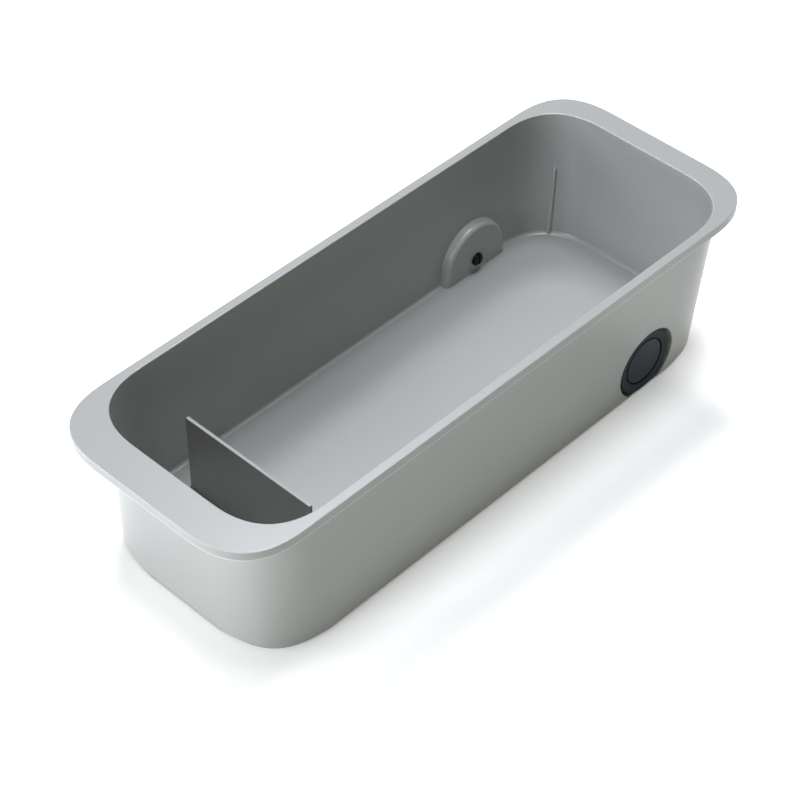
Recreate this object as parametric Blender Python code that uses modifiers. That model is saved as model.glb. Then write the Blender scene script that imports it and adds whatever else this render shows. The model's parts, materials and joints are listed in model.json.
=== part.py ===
"""Rolling under-sink organizer: a deep moulded tray on two small rear wheels.

The tray is one thin-walled moulding with a wide rim to pull it by, a wheel well
in each side wall and a raised floor. A divider lifts out of a channel in the floor.
Each wheel is a hub with a soft tyre, and it turns on a snap-in axle pin whose round
cap shows on the outside. Two rubber feet under the front end keep the tray in place.

Units are metres. X runs across the tray, Y from the front rim to the rear, Z up,
and the floor that the organizer stands on is at Z = 0.
"""
import math

import bmesh
import bpy
from mathutils import Vector

# Rim, seen from above
rim_length = 0.4500
rim_width = 0.1676
rim_front_corner = 0.0530
rim_rear_corner = 0.0496
front_rim_width = 0.0248
rear_rim_width = 0.0169
side_rim_width = 0.0062
mouth_front_corner = 0.0480
mouth_rear_corner = 0.0460

# Heights over the ground
overall_height = 0.1078
ground_clearance = 0.0018
floor_height = 0.0136

# Wall section
wall_thickness = 0.0025
floor_thickness = 0.0025
rim_thickness = 0.0024
lip_height = 0.0066
lip_thickness = 0.0022
rim_edge_radius = 0.0011
lip_edge_radius = 0.0005
base_edge_radius = 0.0018
floor_fillet_radius = 0.0040

# How far each wall leans in between the rim and the base
side_draft = 0.0029
front_draft = 0.0020
rear_draft = 0.0085
base_front_corner = 0.0610
base_rear_corner = 0.0660

# Corners are superellipses, softer than a circular arc where they meet the sides
rim_corner_power = 2.87
mouth_corner_power = 2.58
base_corner_power = 3.30
corner_steps = 14
edge_steps = 3

# Wheels, at the rear end of the side walls
wheel_diameter = 0.0464
wheel_width = 0.0049
wheel_from_centre = 0.1287
wheel_recess = 0.0016
wheel_side_gap = 0.0004
tyre_depth = 0.0062
tyre_edge_radius = 0.0009
bead_height = 0.0010
bead_width = 0.0012
cap_diameter = 0.0323
cap_thickness = 0.0011
cap_sink = 0.0003
cap_edge_radius = 0.0004
turned_steps = 48

# Wheel wells
well_gap = 0.0021
well_wall = 0.0016
well_side_wall = 0.0019
well_edge_radius = 0.0030
well_taper = 0.0008
well_flare_share = 0.18
well_lift = 0.0003
well_steps = 24

# Axle pins
pin_diameter = 0.0080
barb_diameter = 0.0094
barb_seat = 0.0008
barb_length = 0.0024
barb_tip_diameter = 0.0064
pin_slot_width = 0.0012
pin_slot_depth = 0.0036
pin_steps = 24

# Divider of the front compartment, and the channel that holds it
divider_thickness = 0.0024
divider_width = 0.1046
divider_top = 0.0779
divider_from_centre = 0.1442
divider_corner_radius = 0.0012
divider_edge_radius = 0.0005
channel_height = 0.0060
channel_wall = 0.0020
channel_rise = 0.0012

# Nesting ribs in the four corners
rib_height = 0.0534
rib_thickness = 0.0020
rib_depth = 0.0020
rib_angle = math.radians(51.2)

# Front feet
foot_diameter = 0.0160
foot_height = 0.0022
foot_edge_radius = 0.0006
foot_from_middle = 0.0500
foot_from_front = 0.0620
stem_diameter = 0.0060
stem_length = 0.0056
boss_wall = 0.0022
bore_end_gap = 0.0005

# Clearance between pieces that touch, and how far a cutter runs past its cut
fit_gap = 0.0003
overrun = 0.0020
weld_distance = 0.00001

# Places that follow from the sizes above
half_length = rim_length / 2
half_width = rim_width / 2
base_level = ground_clearance
wall_top = overall_height - lip_height
rim_underside = overall_height - rim_thickness
floor_underside = floor_height - floor_thickness
wheel_radius = wheel_diameter / 2
well_radius = wheel_radius + well_gap
mouth_half = half_width - side_rim_width
wall_top_half = mouth_half + wall_thickness
wall_lean_share = (wall_top - wheel_radius) / (wall_top - base_level)
wall_at_axle = wall_top_half - side_draft * wall_lean_share
wheel_face = wall_at_axle - wheel_recess
wheel_back = wheel_face - wheel_width
well_floor = wheel_back - wheel_side_gap
well_face = well_floor - well_wall
wheel_middle = wheel_face - wheel_width / 2

parts = bpy.data.collections.new("under_sink_organizer")
guides = bpy.data.collections.new("cutters")


def clear_scene():
    """Remove what the file opened with, and link the two collections."""
    for thing in list(bpy.data.objects):
        bpy.data.objects.remove(thing, do_unlink=True)
    bpy.context.scene.collection.children.link(parts)
    bpy.context.scene.collection.children.link(guides)


def plastic(name, colour, roughness, metallic=0.0):
    """A plain material with one colour."""
    material = bpy.data.materials.new(name)
    material.use_nodes = True
    shader = material.node_tree.nodes["Principled BSDF"]
    shader.inputs["Base Color"].default_value = (*colour, 1.0)
    shader.inputs["Roughness"].default_value = roughness
    shader.inputs["Metallic"].default_value = metallic
    return material


def add_object(name, mesh, collection, material=None):
    """Put a mesh in a collection under a name; guides show as wire only."""
    thing = bpy.data.objects.new(name, mesh)
    collection.objects.link(thing)
    if material:
        mesh.materials.append(material)
    if collection == guides:
        thing.hide_render = True
        thing.display_type = "WIRE"
    return thing


def mesh_from(work, name):
    """Turn a bmesh into a mesh with its faces pointing out."""
    bmesh.ops.recalc_face_normals(work, faces=work.faces)
    mesh = bpy.data.meshes.new(name)
    work.to_mesh(mesh)
    work.free()
    return mesh


def soften(thing, angle=math.radians(32)):
    """Smooth shading with the real edges kept sharp."""
    thing.data.shade_smooth()
    thing.data.set_sharp_from_angle(angle=angle)


def combine(thing, other, operation):
    """Add or cut another solid with an exact Boolean modifier."""
    step = thing.modifiers.new(other.name, "BOOLEAN")
    step.operation = operation
    step.solver = "EXACT"
    step.object = other


class Outline:
    """A rounded rectangle seen from above, with its own corners front and rear.

    No corner reaches past the middle of the rectangle.
    """

    def __init__(self, half, front, rear, front_corner, rear_corner, power):
        self.half = half
        self.front = front
        self.rear = rear
        self.front_corner = min(front_corner, half)
        self.rear_corner = min(rear_corner, half)
        self.power = power

    def inset(self, distance):
        """The same outline, moved in by a distance all round."""
        return Outline(
            self.half - distance,
            self.front + distance,
            self.rear - distance,
            self.front_corner - distance,
            self.rear_corner - distance,
            self.power,
        )

    def corner_point(self, side, end, angle, level):
        """A point on one corner; side is -1 or 1, and end is -1 at the front, 1 at the rear."""
        radius = self.rear_corner if end > 0 else self.front_corner
        edge = self.rear if end > 0 else self.front
        across = radius * math.cos(angle) ** (2 / self.power)
        along = radius * math.sin(angle) ** (2 / self.power)
        x = side * (self.half - radius + across)
        y = edge - end * radius + end * along
        return Vector((x, y, level))

    def ring(self, level):
        """Points all the way round, anticlockwise from the middle of the right side."""
        points = []
        for side, end in ((1, 1), (-1, 1), (-1, -1), (1, -1)):
            turn = range(corner_steps + 1)
            if side * end < 0:
                turn = reversed(turn)
            for step in turn:
                angle = math.pi / 2 * step / corner_steps
                points.append(self.corner_point(side, end, angle, level))
        return points


rim_outline = Outline(
    half_width, -half_length, half_length,
    rim_front_corner, rim_rear_corner, rim_corner_power)
mouth_outline = Outline(
    mouth_half, front_rim_width - half_length, half_length - rear_rim_width,
    mouth_front_corner, mouth_rear_corner, mouth_corner_power)
wall_outline = mouth_outline.inset(-wall_thickness)
base_outline = Outline(
    wall_outline.half - side_draft, wall_outline.front + front_draft,
    wall_outline.rear - rear_draft,
    base_front_corner, base_rear_corner, base_corner_power)


def lean_share(level):
    """How far down the leaning wall a level is: 0 at its top, 1 at the base."""
    return min(max((wall_top - level) / (wall_top - base_level), 0.0), 1.0)


def wall_ring(level, inset):
    """The wall's ring at a level, moved in from its outer face."""
    share = lean_share(level)
    upper = wall_outline.inset(inset).ring(level)
    lower = base_outline.inset(inset).ring(level)
    return [high.lerp(low, share) for high, low in zip(upper, lower)]


def wall_point(side, end, angle, level, inset):
    """One point of the wall's corner at a level, moved in from its outer face."""
    share = lean_share(level)
    high = wall_outline.inset(inset).corner_point(side, end, angle, level)
    low = base_outline.inset(inset).corner_point(side, end, angle, level)
    return high.lerp(low, share)


def quarter_turn():
    """Angles of a rounded edge, from 0 to a right angle."""
    return [math.pi / 2 * step / edge_steps for step in range(edge_steps + 1)]


def tray_rings():
    """The tray's whole skin as rings, from under the floor, round the rim, to the floor."""
    rings = [
        wall_ring(floor_underside, wall_thickness),
        wall_ring(base_level, wall_thickness),
    ]
    for angle in reversed(quarter_turn()):
        inset = base_edge_radius * (1 - math.cos(angle))
        level = base_level + base_edge_radius * (1 - math.sin(angle))
        rings.append(wall_ring(level, inset))
    rings.append(wall_ring(wall_top, 0.0))
    rings.append(wall_ring(rim_underside, 0.0))
    rings.append(rim_outline.inset(lip_thickness).ring(rim_underside))
    rings.append(rim_outline.inset(lip_thickness).ring(wall_top))
    rings.append(rim_outline.inset(lip_edge_radius).ring(wall_top))
    rings.append(rim_outline.ring(wall_top + lip_edge_radius))
    for angle in quarter_turn():
        inset = rim_edge_radius * (1 - math.cos(angle))
        level = overall_height - rim_edge_radius * (1 - math.sin(angle))
        rings.append(rim_outline.inset(inset).ring(level))
    for angle in reversed(quarter_turn()):
        inset = -rim_edge_radius * (1 - math.cos(angle))
        level = overall_height - rim_edge_radius * (1 - math.sin(angle))
        rings.append(mouth_outline.inset(inset).ring(level))
    rings.append(wall_ring(wall_top, wall_thickness))
    for angle in quarter_turn():
        inset = wall_thickness + floor_fillet_radius * (1 - math.cos(angle))
        level = floor_height + floor_fillet_radius * (1 - math.sin(angle))
        rings.append(wall_ring(level, inset))
    return rings


def loft(rings, name):
    """Skin a stack of rings with equal point counts, and close both ends."""
    work = bmesh.new()
    rows = [[work.verts.new(point) for point in ring] for ring in rings]
    count = len(rows[0])
    sides = []
    for lower, upper in zip(rows, rows[1:]):
        for index in range(count):
            after = (index + 1) % count
            corners = (lower[index], lower[after], upper[after], upper[index])
            sides.append(work.faces.new(corners))
    work.faces.new(rows[0])
    work.faces.new(rows[-1])
    bmesh.ops.triangulate(work, faces=sides)
    return mesh_from(work, name)


def prism(outline, sweep, name):
    """A closed solid: a flat outline carried along a vector."""
    return loft([outline, [point + sweep for point in outline]], name)


def turned(profile, name, collection, steps, material=None, closed=False):
    """A solid turned about its own Z axis; profile points are (radius, height)."""
    work = bmesh.new()
    points = [work.verts.new((radius, 0.0, height)) for radius, height in profile]
    for first, second in zip(points, points[1:]):
        work.edges.new((first, second))
    if closed:
        work.edges.new((points[-1], points[0]))
    mesh = bpy.data.meshes.new(name)
    work.to_mesh(mesh)
    work.free()
    thing = add_object(name, mesh, collection, material)
    screw = thing.modifiers.new("turn", "SCREW")
    screw.axis = "Z"
    screw.angle = 2 * math.pi
    screw.steps = steps
    screw.render_steps = steps
    screw.use_merge_vertices = True
    screw.merge_threshold = weld_distance
    screw.use_smooth_shade = True
    return thing


def rounded_corner(radius, height, edge, outward, upward):
    """Profile points of a rounded edge whose sharp corner is at (radius, height)."""
    points = []
    for angle in quarter_turn():
        across = radius - outward * edge * (1 - math.sin(angle))
        up = height - upward * edge * (1 - math.cos(angle))
        points.append((across, up))
    return points


def well_ring(side, x, radius, bottom):
    """The well housing's outline in an upright plane: a round top on flared sides."""
    flare = well_flare_share * (wheel_radius - bottom)
    points = [Vector((side * x, wheel_from_centre + radius + flare, bottom))]
    for step in range(well_steps + 1):
        angle = math.pi * step / well_steps
        y = wheel_from_centre + radius * math.cos(angle)
        z = wheel_radius + radius * math.sin(angle)
        points.append(Vector((side * x, y, z)))
    points.append(Vector((side * x, wheel_from_centre - radius - flare, bottom)))
    return points


def add_well_housing(tray, side, label):
    """The half-round hump over a wheel, standing on the tray's floor."""
    bottom = floor_underside + floor_thickness / 2
    shoulder = well_radius + well_side_wall
    rings = [
        well_ring(side, wall_at_axle - wall_thickness / 2, shoulder + well_taper, bottom),
        well_ring(side, well_face + well_edge_radius, shoulder, bottom),
    ]
    for angle in quarter_turn()[1:]:
        x = well_face + well_edge_radius * (1 - math.sin(angle))
        radius = shoulder - well_edge_radius * (1 - math.cos(angle))
        rings.append(well_ring(side, x, radius, bottom))
    hump = add_object(label + "_hump", loft(rings, label + "_hump"), guides)
    combine(tray, hump, "UNION")


def add_well_skirt(tray, side, label):
    """The well's wall below the floor: the same round, cut off above the base."""
    radius = well_radius + well_side_wall
    top = floor_underside + floor_thickness / 2
    bottom = base_level + well_lift
    start = math.asin((wheel_radius - top) / radius)
    end = math.asin((wheel_radius - bottom) / radius)
    near = []
    for step in range(well_steps // 2 + 1):
        angle = start + (end - start) * step / (well_steps // 2)
        near.append((radius * math.cos(angle), wheel_radius - radius * math.sin(angle)))
    outline = [Vector((side * well_face, wheel_from_centre + y, z)) for y, z in near]
    outline += [Vector((side * well_face, wheel_from_centre - y, z)) for y, z in reversed(near)]
    reach = base_outline.half - wall_thickness / 2 - well_face
    skirt = prism(outline, Vector((side * reach, 0.0, 0.0)), label + "_skirt")
    combine(tray, add_object(label + "_skirt", skirt, guides), "UNION")


def cut_well(tray, side, label):
    """The round pocket for the wheel, and the hole for the axle pin behind it."""
    outer = wall_top_half + overrun - well_floor
    inner = well_wall + overrun
    hole = pin_diameter / 2 + fit_gap
    profile = [(0.0, outer), (well_radius, outer), (well_radius, 0.0)]
    profile += [(hole, 0.0), (hole, -inner), (0.0, -inner)]
    cutter = turned(profile, label + "_well_cutter", guides, turned_steps)
    cutter.location = (side * well_floor, wheel_from_centre, wheel_radius)
    cutter.rotation_euler = (0.0, side * math.pi / 2, 0.0)
    combine(tray, cutter, "DIFFERENCE")


def add_nesting_rib(tray, side, end):
    """An upright fin in a corner, from the floor part of the way up the wall."""
    name = ("right" if side > 0 else "left") + ("_rear" if end > 0 else "_front") + "_rib"
    rings = []
    foot = floor_height - floor_thickness / 2
    for level in (foot, floor_height + rib_height):
        root = wall_point(side, end, rib_angle, level, wall_thickness / 2)
        crest = wall_point(side, end, rib_angle, level, wall_thickness + rib_depth)
        depth = crest - root
        half = depth.cross(Vector((0.0, 0.0, 1.0))).normalized() * (rib_thickness / 2)
        rings.append([root - half, root + half, crest + half, crest - half])
    combine(tray, add_object(name, loft(rings, name), guides), "UNION")


def box_between(low, high, name, collection, material=None):
    """A box from its lowest to its highest corner."""
    work = bmesh.new()
    bmesh.ops.create_cube(work, size=1.0)
    size = Vector(high) - Vector(low)
    middle = (Vector(high) + Vector(low)) / 2
    bmesh.ops.scale(work, vec=size, verts=work.verts)
    bmesh.ops.translate(work, vec=middle, verts=work.verts)
    return add_object(name, mesh_from(work, name), collection, material)


def add_divider_channel(tray):
    """A low walled channel on the floor, in which the divider stands."""
    half = divider_width / 2 + fit_gap
    depth = divider_thickness / 2 + fit_gap
    foot = floor_height - floor_thickness / 2
    top = floor_height + channel_height
    middle = -divider_from_centre
    block = box_between(
        (-half - channel_wall, middle - depth - channel_wall, foot),
        (half + channel_wall, middle + depth + channel_wall, top),
        "channel_block", guides)
    combine(tray, block, "UNION")
    slot = box_between(
        (-half, middle - depth, floor_height + channel_rise),
        (half, middle + depth, top + overrun),
        "channel_slot", guides)
    combine(tray, slot, "DIFFERENCE")


def add_foot_boss(tray, side, label):
    """A round boss under the floor, with a blind bore for the foot's stem."""
    bore = stem_diameter / 2 + fit_gap
    outer = bore + boss_wall
    top = floor_underside + floor_thickness / 2
    bottom = foot_height + fit_gap
    end = foot_height + stem_length + bore_end_gap
    profile = [(0.0, top), (outer, top), (outer, bottom), (bore, bottom), (bore, end), (0.0, end)]
    boss = turned(profile, label + "_boss", guides, pin_steps)
    boss.location = (side * foot_from_middle, foot_from_front - half_length, 0.0)
    combine(tray, boss, "UNION")


def make_tray(material):
    """The moulded tray."""
    tray = add_object("tray", loft(tray_rings(), "tray"), parts, material)
    for side, label in ((-1, "left"), (1, "right")):
        add_well_housing(tray, side, label)
        add_well_skirt(tray, side, label)
        for end in (-1, 1):
            add_nesting_rib(tray, side, end)
        add_foot_boss(tray, side, label)
        cut_well(tray, side, label)
    add_divider_channel(tray)
    soften(tray)
    return tray


def make_divider(material):
    """The upright panel of the front compartment, with its two top corners rounded."""
    bottom = floor_height + channel_rise + fit_gap
    half = divider_width / 2
    front = -divider_from_centre - divider_thickness / 2
    work = bmesh.new()
    outline = [(-half, bottom), (half, bottom)]
    for angle in quarter_turn():
        x = half - divider_corner_radius * (1 - math.cos(angle))
        z = divider_top - divider_corner_radius * (1 - math.sin(angle))
        outline.append((x, z))
    for angle in reversed(quarter_turn()):
        x = divider_corner_radius * (1 - math.cos(angle)) - half
        z = divider_top - divider_corner_radius * (1 - math.sin(angle))
        outline.append((x, z))
    middle = Vector((0.0, -divider_from_centre, bottom))
    face = work.faces.new([work.verts.new(Vector((x, front, z)) - middle) for x, z in outline])
    swept = bmesh.ops.extrude_face_region(work, geom=[face])
    moved = [item for item in swept["geom"] if isinstance(item, bmesh.types.BMVert)]
    bmesh.ops.translate(work, vec=(0.0, divider_thickness, 0.0), verts=moved)
    panel = add_object("divider", mesh_from(work, "divider"), parts, material)
    panel.location = middle
    bevel = panel.modifiers.new("edges", "BEVEL")
    bevel.width = divider_edge_radius
    bevel.segments = 2
    bevel.limit_method = "ANGLE"
    bevel.angle_limit = math.radians(60)
    soften(panel)
    return panel


def hub_profile():
    """Half section of the wheel hub, with a bead that holds the tyre."""
    back = -wheel_width / 2
    front = wheel_width / 2 - cap_sink - cap_thickness - fit_gap
    bore = pin_diameter / 2 + fit_gap
    outer = wheel_radius - tyre_depth - fit_gap
    crest = outer + bead_height
    middle = (back + front) / 2
    return [
        (outer, front), (outer, middle + bead_width / 2), (crest, middle + bead_width / 2),
        (crest, middle - bead_width / 2), (outer, middle - bead_width / 2), (outer, back),
        (bore, back), (bore, front),
    ]


def tyre_profile():
    """Half section of the tyre, with rounded shoulders and a groove for the hub's bead."""
    back = -wheel_width / 2
    hub_front = wheel_width / 2 - cap_sink - cap_thickness - fit_gap
    inner = wheel_radius - tyre_depth
    groove = inner + bead_height
    middle = (back + hub_front) / 2
    reach = bead_width / 2 + fit_gap
    shoulder = rounded_corner(wheel_radius, -back, tyre_edge_radius, 1, 1)
    lower = rounded_corner(wheel_radius, back, tyre_edge_radius, 1, -1)
    points = shoulder + lower[::-1]
    points += [(inner, back), (inner, middle - reach), (groove, middle - reach)]
    points += [(groove, middle + reach), (inner, middle + reach), (inner, -back)]
    return points


def pin_profile():
    """Half section of the axle pin: round cap, shaft and barbed end."""
    cap_radius = cap_diameter / 2
    shaft = pin_diameter / 2
    face = wheel_width / 2 - cap_sink
    back = face - cap_thickness
    inside = -wheel_width / 2 - wheel_side_gap - well_wall - fit_gap
    points = [(0.0, face)]
    points += rounded_corner(cap_radius, face, cap_edge_radius, 1, 1)
    points += [(cap_radius, back), (shaft, back), (shaft, inside)]
    points += [(barb_diameter / 2, inside), (barb_diameter / 2, inside - barb_seat)]
    points += [(barb_tip_diameter / 2, inside - barb_length), (0.0, inside - barb_length)]
    return points


def make_wheel(side, label, hub_material, tyre_material, pin_material):
    """One wheel on its pin, each piece with its origin on the axle."""
    axle = bpy.data.objects.new(label + "_axle", None)
    parts.objects.link(axle)
    axle.location = (side * wheel_middle, wheel_from_centre, wheel_radius)
    axle.rotation_euler = (0.0, side * math.pi / 2, 0.0)
    hub = turned(
        hub_profile(), label + "_wheel_hub", parts, turned_steps, hub_material, closed=True)
    tyre = turned(
        tyre_profile(), label + "_wheel_tyre", parts, turned_steps, tyre_material, closed=True)
    pin = turned(pin_profile(), label + "_axle_pin", parts, turned_steps, pin_material)
    for piece in (hub, tyre, pin):
        piece.parent = axle
    tip = -wheel_width / 2 - wheel_side_gap - well_wall - fit_gap - barb_length
    slot = box_between(
        (-barb_diameter, -pin_slot_width / 2, tip - overrun),
        (barb_diameter, pin_slot_width / 2, tip + pin_slot_depth),
        label + "_pin_slot", guides)
    slot.parent = axle
    combine(pin, slot, "DIFFERENCE")
    for piece in (hub, tyre, pin):
        soften(piece)


def make_foot(side, label, material):
    """A rubber foot: a flat disc with a stem pushed up into its boss."""
    pad = foot_diameter / 2
    stem = stem_diameter / 2
    top = foot_height + stem_length
    profile = [(0.0, top), (stem, top), (stem, foot_height), (pad, foot_height)]
    profile += rounded_corner(pad, 0.0, foot_edge_radius, 1, -1)[::-1]
    profile += [(0.0, 0.0)]
    foot = turned(profile, label + "_front_foot", parts, pin_steps, material)
    foot.location = (side * foot_from_middle, foot_from_front - half_length, 0.0)
    soften(foot)


def main():
    """Build every piece."""
    clear_scene()
    grey = plastic("grey_polypropylene", (0.42, 0.43, 0.44), 0.5)
    dark = plastic("dark_hub_plastic", (0.020, 0.023, 0.030), 0.45)
    cap = plastic("dark_pin_plastic", (0.016, 0.018, 0.024), 0.4)
    rubber = plastic("dark_tyre_rubber", (0.024, 0.027, 0.034), 0.7)
    foot_rubber = plastic("grey_foot_rubber", (0.10, 0.10, 0.11), 0.8)
    make_tray(grey)
    make_divider(grey)
    for side, label in ((-1, "left"), (1, "right")):
        make_wheel(side, label, dark, rubber, cap)
        make_foot(side, label, foot_rubber)


main()
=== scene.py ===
# %% [markdown]
# # A rolling under-sink organizer
# A deep, narrow tray stands on two small rear wheels and two rubber feet, and a panel
# divides off a front compartment. Everything is injection moulded: thin leaning walls,
# rounded edges, a satin surface with a very fine grain.
#
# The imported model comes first, in metres. Each cell then builds a piece in its finer
# form, around the same sizes, and hangs it on the body it moves with.

# %% Load the frame
import json
import math

import bmesh
import bpy
import numpy as np
from mathutils import Matrix, Vector

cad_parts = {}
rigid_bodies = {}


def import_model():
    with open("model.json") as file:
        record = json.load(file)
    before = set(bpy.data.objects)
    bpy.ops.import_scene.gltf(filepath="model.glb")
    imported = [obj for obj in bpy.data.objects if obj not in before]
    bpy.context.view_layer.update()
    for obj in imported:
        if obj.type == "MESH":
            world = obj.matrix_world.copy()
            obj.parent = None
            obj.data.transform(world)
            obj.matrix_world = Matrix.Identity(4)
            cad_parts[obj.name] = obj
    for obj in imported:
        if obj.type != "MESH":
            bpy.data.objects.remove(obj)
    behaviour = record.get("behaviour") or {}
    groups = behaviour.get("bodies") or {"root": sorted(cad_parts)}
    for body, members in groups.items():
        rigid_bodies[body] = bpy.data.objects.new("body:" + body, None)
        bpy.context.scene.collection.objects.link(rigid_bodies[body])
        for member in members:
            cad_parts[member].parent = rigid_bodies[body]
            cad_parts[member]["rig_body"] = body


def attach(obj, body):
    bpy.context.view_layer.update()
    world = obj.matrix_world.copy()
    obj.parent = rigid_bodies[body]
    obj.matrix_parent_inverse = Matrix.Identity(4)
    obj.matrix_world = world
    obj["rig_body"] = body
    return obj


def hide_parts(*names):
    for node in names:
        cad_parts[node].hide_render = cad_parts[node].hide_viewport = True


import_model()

for opened_with in list(bpy.data.objects):
    if opened_with.type != "EMPTY" and "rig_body" not in opened_with:
        bpy.data.objects.remove(opened_with)
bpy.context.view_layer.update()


def new_object(name, data):
    """An object in the scene that shows a mesh, a lamp or a camera."""
    thing = bpy.data.objects.new(name, data)
    bpy.context.scene.collection.objects.link(thing)
    return thing


# %% [markdown]
# ## Camera
# The photograph looks down on the tray's front right corner. A camera is easiest to
# place as an orbit: a point to look at, two angles and a distance. The lens is long,
# so the sides stay almost parallel.

# %% Place the camera
camera_target = Vector((0.01474, -0.03252, 0.0592))
camera_turn = math.radians(43.84)
camera_height = math.radians(43.75)
camera_roll = math.radians(0.15)
camera_distance = 1.42879
sensor_width = 36.0
focal_length_px, picture_width_px = 2361.8, 800

back = Vector((
    math.sin(camera_turn) * math.cos(camera_height),
    -math.cos(camera_turn) * math.cos(camera_height),
    math.sin(camera_height)))
right = Vector((math.cos(camera_turn), math.sin(camera_turn), 0.0))
up = back.cross(right)
turned_right = math.cos(camera_roll) * right + math.sin(camera_roll) * up
turned_up = back.cross(turned_right)

view = bpy.data.cameras.new("view")
view.sensor_width = sensor_width
view.lens = sensor_width * (focal_length_px / picture_width_px)
view.clip_start = 0.05
camera = new_object("view", view)
axes = Matrix((turned_right, turned_up, back)).transposed().to_4x4()
camera.matrix_world = Matrix.Translation(camera_target + back * camera_distance) @ axes
bpy.context.scene.camera = camera
print("lens in mm:", round(view.lens, 1))

# %% [markdown]
# ## Writing node trees down
# In a script a node tree is easiest to follow as sums, so this small class adds a node
# and joins what is given to its inputs, for geometry trees and shader groups alike.

# %% A sheet for writing node trees
class NodeSheet:
    """Adds nodes to one tree; what an input is given is a value or another output."""

    def __init__(self, tree):
        self.tree = tree

    def node(self, kind, inputs=None, **settings):
        """A new node with its settings and inputs."""
        node = self.tree.nodes.new(kind)
        for name, value in settings.items():
            setattr(node, name, value)
        self.feed(node, inputs or {})
        return node

    def feed(self, node, inputs):
        """Give a node what its inputs take, by their names or numbers."""
        for label, value in inputs.items():
            if isinstance(value, bpy.types.NodeSocket):
                self.tree.links.new(value, node.inputs[label])
            else:
                node.inputs[label].default_value = value

    def math(self, operation, *values):
        inputs = dict(enumerate(values))
        return self.node("ShaderNodeMath", inputs, operation=operation).outputs[0]

    def minus(self, *values):
        return self.math("SUBTRACT", *values)

    def times(self, *values):
        return self.math("MULTIPLY", *values)

    def mix(self, share, low, high):
        """low where share is 0, high where it is 1."""
        return self.math("MULTIPLY_ADD", self.minus(high, low), share, low)

    def between(self, value, low, high):
        """1 where the value is between low and high, else 0."""
        return self.math("COMPARE", value, (low + high) / 2, (high - low) / 2)

    def vector(self, x, y, z):
        return self.node("ShaderNodeCombineXYZ", {0: x, 1: y, 2: z}).outputs[0]

    def parts(self, vector):
        return self.node("ShaderNodeSeparateXYZ", {0: vector}).outputs

    def noise(self, place, scale, detail=2.0, roughness=0.5):
        """Soft noise around one half."""
        inputs = {"Vector": place, "Scale": scale, "Detail": detail, "Roughness": roughness}
        return self.node("ShaderNodeTexNoise", inputs).outputs["Fac"]

    def done(self, name=None, step=180):
        """Put the nodes side by side, in the order they were added, and give the tree."""
        for place, node in enumerate(self.tree.nodes):
            node.location = (step * (place % 12), -step * (place // 12))
        print(name or self.tree.name, "has", len(self.tree.nodes), "nodes")
        return self.tree


def new_tree(name, kind, inputs, outputs):
    """A tree with named sockets; each input is (name, type, default)."""
    tree = bpy.data.node_groups.new(name, kind)
    for label, socket_type, default in inputs:
        socket = tree.interface.new_socket(name=label, in_out="INPUT", socket_type=socket_type)
        if default is not None:
            socket.default_value = default
    for label, socket_type in outputs:
        tree.interface.new_socket(name=label, in_out="OUTPUT", socket_type=socket_type)
    sheet = NodeSheet(tree)
    return sheet, sheet.node("NodeGroupInput").outputs, sheet.node("NodeGroupOutput")


print("node sheet ready")

# %% [markdown]
# ## The moulded surface
# A spark eroded mould leaves a very fine, even pebble on the plastic, and melt that
# flows through thin walls leaves soft, wide clouds in the tone and the gloss. Every
# plastic here has both, so they are one group whose sizes each material sets.

# %% Group: moulded grain
FLOAT, INTEGER, VECTOR = "NodeSocketFloat", "NodeSocketInt", "NodeSocketVector"
GEOMETRY, MATERIAL = "NodeSocketGeometry", "NodeSocketMaterial"
sheet, given, result = new_tree(
    "moulded_grain", "ShaderNodeTree",
    [("Place", VECTOR, None), ("Grain Size", FLOAT, 0.0004), ("Cloud Size", FLOAT, 0.09)],
    [("Grain Height", FLOAT), ("Clouds", FLOAT), ("Speckle", FLOAT)])
place, grain_size = given["Place"], given["Grain Size"]
fine = sheet.noise(place, sheet.math("DIVIDE", 1.0, grain_size), 1.5)
pebble_scale = sheet.math("DIVIDE", 0.6, grain_size)
pebble = sheet.node(
    "ShaderNodeTexVoronoi", {"Vector": place, "Scale": pebble_scale}, feature="SMOOTH_F1")
wide = sheet.noise(place, sheet.math("DIVIDE", 1.0, given["Cloud Size"]), 3.0)
dots = sheet.noise(place, sheet.math("DIVIDE", 0.2, grain_size), 2.0, 0.7)
sheet.feed(result, {
    "Grain Height": sheet.math("MULTIPLY_ADD", pebble.outputs["Distance"], 0.6, fine),
    "Clouds": sheet.minus(wide, 0.5), "Speckle": sheet.minus(dots, 0.5)})
moulded_grain = sheet.done()

# %% [markdown]
# ## Handled edges
# Hands rub a convex edge first: it gets smoother and a touch lighter than the faces
# beside it. How convex a place is comes from the mesh itself: each finished piece
# stores it in an attribute named "edge", which this group reads. A finish can lighten
# these edges far more than wear does; that part is painted highlight.

# %% Group: handled edge
sheet, given, result = new_tree(
    "edge_wear_and_highlight", "ShaderNodeTree",
    [("Place", VECTOR, None), ("Reach", FLOAT, 1.0), ("Break Up", FLOAT, 0.5)],
    [("Edge Mask", FLOAT)])
edge = sheet.node("ShaderNodeAttribute", attribute_name="edge").outputs["Fac"]
patchy = sheet.noise(given["Place"], 220.0, 3.0, 0.6)
kept = sheet.minus(1.0, sheet.times(patchy, given["Break Up"]))
edge_amount = sheet.times(sheet.times(edge, given["Reach"]), kept)
sheet.feed(result, {"Edge Mask": sheet.node("ShaderNodeClamp", {"Value": edge_amount}).outputs[0]})
edge_wear_and_highlight = sheet.done()
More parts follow.
